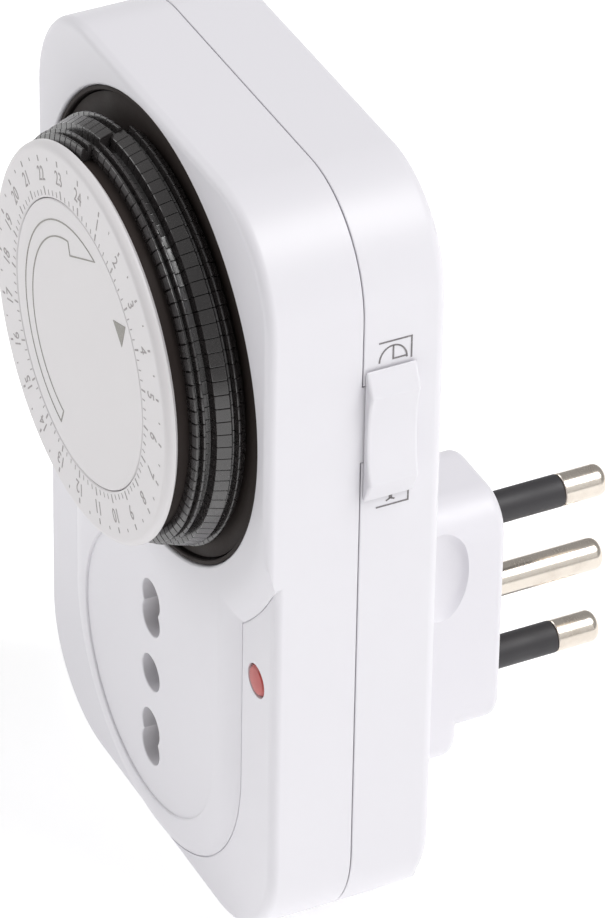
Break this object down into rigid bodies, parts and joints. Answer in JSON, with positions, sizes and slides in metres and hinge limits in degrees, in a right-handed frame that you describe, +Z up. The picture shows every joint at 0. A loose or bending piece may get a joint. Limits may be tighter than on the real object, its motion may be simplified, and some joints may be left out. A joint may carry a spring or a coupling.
{
  "type": "programmable timer",
  "caption": "Plug-in mechanical day timer: turning hour dial with push tabs, side override slider, round-pin socket in front and three-pin plug behind.",
  "frame": {"origin": "centre of the flat underside of the front cover", "axes": "+Z up along the timer's height, +Y back towards the wall and along the pins, +X to the right of someone facing the dial"},
  "size_m": [0.0747, 0.0815, 0.1208],
  "materials": {
    "white_shell": "fine satin moulding",
    "white_dial": "satin with grey print",
    "black_plastic": "satin",
    "nickel": "warm nickel plate",
    "black_sleeve": "matt",
    "brass": "stamped",
    "zinc_steel": "zinc plated",
    "nylon": "natural",
    "red_lens": "translucent",
    "lamp_glass": "clear",
    "silver_contact": "silver faced",
    "ceramic": "fired"
  },
  "bodies": {
    "housing": {"front_cover": "white_shell", "rear_cover": "white_shell", "centre_plate": "white_dial", "mechanism_plate": "black_plastic", "dial_spindle": "zinc_steel", "synchronous_motor": "zinc_steel", "lever_pin": "zinc_steel", "housing_screw_1": "zinc_steel", "housing_screw_2": "zinc_steel", "housing_screw_3": "zinc_steel", "housing_screw_4": "zinc_steel", "motor_bracket": "nylon", "contact_carrier": "nylon", "pin_holder": "nylon", "fixed_contact": "brass", "neutral_contact": "brass", "earth_contact": "brass", "line_contact": "brass", "line_bus": "brass", "load_bus": "brass", "indicator_lens": "red_lens", "neon_lamp": "lamp_glass", "lamp_resistor": "ceramic", "line_pin": "nickel", "neutral_pin": "nickel", "earth_pin": "nickel", "line_pin_sleeve": "black_sleeve", "neutral_pin_sleeve": "black_sleeve"},
    "dial": {"dial_disc": "white_dial", "dial_carrier": "black_plastic"},
    "tripper_hour_01": {"tripper_hour_01": "black_plastic"},
    "tripper_hour_02": {"tripper_hour_02": "black_plastic"},
    "tripper_hour_03": {"tripper_hour_03": "black_plastic"},
    "tripper_hour_04": {"tripper_hour_04": "black_plastic"},
    "tripper_hour_05": {"tripper_hour_05": "black_plastic"},
    "tripper_hour_06": {"tripper_hour_06": "black_plastic"},
    "tripper_hour_07": {"tripper_hour_07": "black_plastic"},
    "tripper_hour_08": {"tripper_hour_08": "black_plastic"},
    "tripper_hour_09": {"tripper_hour_09": "black_plastic"},
    "tripper_hour_10": {"tripper_hour_10": "black_plastic"},
    "tripper_hour_11": {"tripper_hour_11": "black_plastic"},
    "tripper_hour_12": {"tripper_hour_12": "black_plastic"},
    "tripper_hour_13": {"tripper_hour_13": "black_plastic"},
    "tripper_hour_14": {"tripper_hour_14": "black_plastic"},
    "tripper_hour_15": {"tripper_hour_15": "black_plastic"},
    "tripper_hour_16": {"tripper_hour_16": "black_plastic"},
    "tripper_hour_17": {"tripper_hour_17": "black_plastic"},
    "tripper_hour_18": {"tripper_hour_18": "black_plastic"},
    "tripper_hour_19": {"tripper_hour_19": "black_plastic"},
    "tripper_hour_20": {"tripper_hour_20": "black_plastic"},
    "tripper_hour_21": {"tripper_hour_21": "black_plastic"},
    "tripper_hour_22": {"tripper_hour_22": "black_plastic"},
    "tripper_hour_23": {"tripper_hour_23": "black_plastic"},
    "tripper_hour_24": {"tripper_hour_24": "black_plastic"},
    "reduction_gear": {"reduction_gear": "nylon"},
    "motor_pinion": {"motor_pinion": "nylon"},
    "switch_lever": {"switch_lever": "nylon", "moving_contact": "silver_contact"},
    "override_slider": {"override_slider": "white_shell"}
  },
  "joints": [
    {"name": "dial_spin", "type": "hinge", "parent": "housing", "child": "dial", "pos_m": [0, 0, 0.0859], "axis": [0, 1, 0], "continuous": true},
    {"name": "reduction_gear_spin", "type": "hinge", "parent": "housing", "child": "reduction_gear", "pos_m": [0, 0, 0.06756], "axis": [0, 1, 0], "continuous": true},
    {"name": "motor_pinion_spin", "type": "hinge", "parent": "housing", "child": "motor_pinion", "pos_m": [-0.01291, 0, 0.06756], "axis": [0, 1, 0], "continuous": true},
    {"name": "lever_rock", "type": "hinge", "parent": "housing", "child": "switch_lever", "pos_m": [0.022, 0.0022, 0.0859], "axis": [0, 0, 1], "range_deg": [0, 2.5], "stiffness_Nm_per_rad": 0.02, "springref_deg": -2.86},
    {"name": "override_slide", "type": "slide", "parent": "housing", "child": "override_slider", "axis": [0, 0, 1], "range_m": [-0.004, 0]},
    {"name": "tripper_hour_01_slide", "type": "slide", "parent": "dial", "child": "tripper_hour_01", "axis": [0, 1, 0], "range_m": [-0.0015, 0]},
    {"name": "tripper_hour_02_slide", "type": "slide", "parent": "dial", "child": "tripper_hour_02", "axis": [0, 1, 0], "range_m": [-0.0015, 0]},
    {"name": "tripper_hour_03_slide", "type": "slide", "parent": "dial", "child": "tripper_hour_03", "axis": [0, 1, 0], "range_m": [-0.0015, 0]},
    {"name": "tripper_hour_04_slide", "type": "slide", "parent": "dial", "child": "tripper_hour_04", "axis": [0, 1, 0], "range_m": [-0.0015, 0]},
    {"name": "tripper_hour_05_slide", "type": "slide", "parent": "dial", "child": "tripper_hour_05", "axis": [0, 1, 0], "range_m": [-0.0015, 0]},
    {"name": "tripper_hour_06_slide", "type": "slide", "parent": "dial", "child": "tripper_hour_06", "axis": [0, 1, 0], "range_m": [-0.0015, 0]},
    {"name": "tripper_hour_07_slide", "type": "slide", "parent": "dial", "child": "tripper_hour_07", "axis": [0, 1, 0], "range_m": [-0.0015, 0]},
    {"name": "tripper_hour_08_slide", "type": "slide", "parent": "dial", "child": "tripper_hour_08", "axis": [0, 1, 0], "range_m": [-0.0015, 0]},
    {"name": "tripper_hour_09_slide", "type": "slide", "parent": "dial", "child": "tripper_hour_09", "axis": [0, 1, 0], "range_m": [-0.0015, 0]},
    {"name": "tripper_hour_10_slide", "type": "slide", "parent": "dial", "child": "tripper_hour_10", "axis": [0, 1, 0], "range_m": [-0.0015, 0]},
    {"name": "tripper_hour_11_slide", "type": "slide", "parent": "dial", "child": "tripper_hour_11", "axis": [0, 1, 0], "range_m": [-0.0015, 0]},
    {"name": "tripper_hour_12_slide", "type": "slide", "parent": "dial", "child": "tripper_hour_12", "axis": [0, 1, 0], "range_m": [-0.0015, 0]},
    {"name": "tripper_hour_13_slide", "type": "slide", "parent": "dial", "child": "tripper_hour_13", "axis": [0, 1, 0], "range_m": [0, 0.0015]},
    {"name": "tripper_hour_14_slide", "type": "slide", "parent": "dial", "child": "tripper_hour_14", "axis": [0, 1, 0], "range_m": [0, 0.0015]},
    {"name": "tripper_hour_15_slide", "type": "slide", "parent": "dial", "child": "tripper_hour_15", "axis": [0, 1, 0], "range_m": [-0.0015, 0]},
    {"name": "tripper_hour_16_slide", "type": "slide", "parent": "dial", "child": "tripper_hour_16", "axis": [0, 1, 0], "range_m": [-0.0015, 0]},
    {"name": "tripper_hour_17_slide", "type": "slide", "parent": "dial", "child": "tripper_hour_17", "axis": [0, 1, 0], "range_m": [-0.0015, 0]},
    {"name": "tripper_hour_18_slide", "type": "slide", "parent": "dial", "child": "tripper_hour_18", "axis": [0, 1, 0], "range_m": [-0.0015, 0]},
    {"name": "tripper_hour_19_slide", "type": "slide", "parent": "dial", "child": "tripper_hour_19", "axis": [0, 1, 0], "range_m": [-0.0015, 0]},
    {"name": "tripper_hour_20_slide", "type": "slide", "parent": "dial", "child": "tripper_hour_20", "axis": [0, 1, 0], "range_m": [-0.0015, 0]},
    {"name": "tripper_hour_21_slide", "type": "slide", "parent": "dial", "child": "tripper_hour_21", "axis": [0, 1, 0], "range_m": [0, 0.0015]},
    {"name": "tripper_hour_22_slide", "type": "slide", "parent": "dial", "child": "tripper_hour_22", "axis": [0, 1, 0], "range_m": [0, 0.0015]},
    {"name": "tripper_hour_23_slide", "type": "slide", "parent": "dial", "child": "tripper_hour_23", "axis": [0, 1, 0], "range_m": [0, 0.0015]},
    {"name": "tripper_hour_24_slide", "type": "slide", "parent": "dial", "child": "tripper_hour_24", "axis": [0, 1, 0], "range_m": [0, 0.0015]}
  ],
  "couplings": [
    {"joint": "reduction_gear_spin", "follows": "dial_spin", "ratio": -4},
    {"joint": "motor_pinion_spin", "follows": "dial_spin", "ratio": 16}
  ]
}
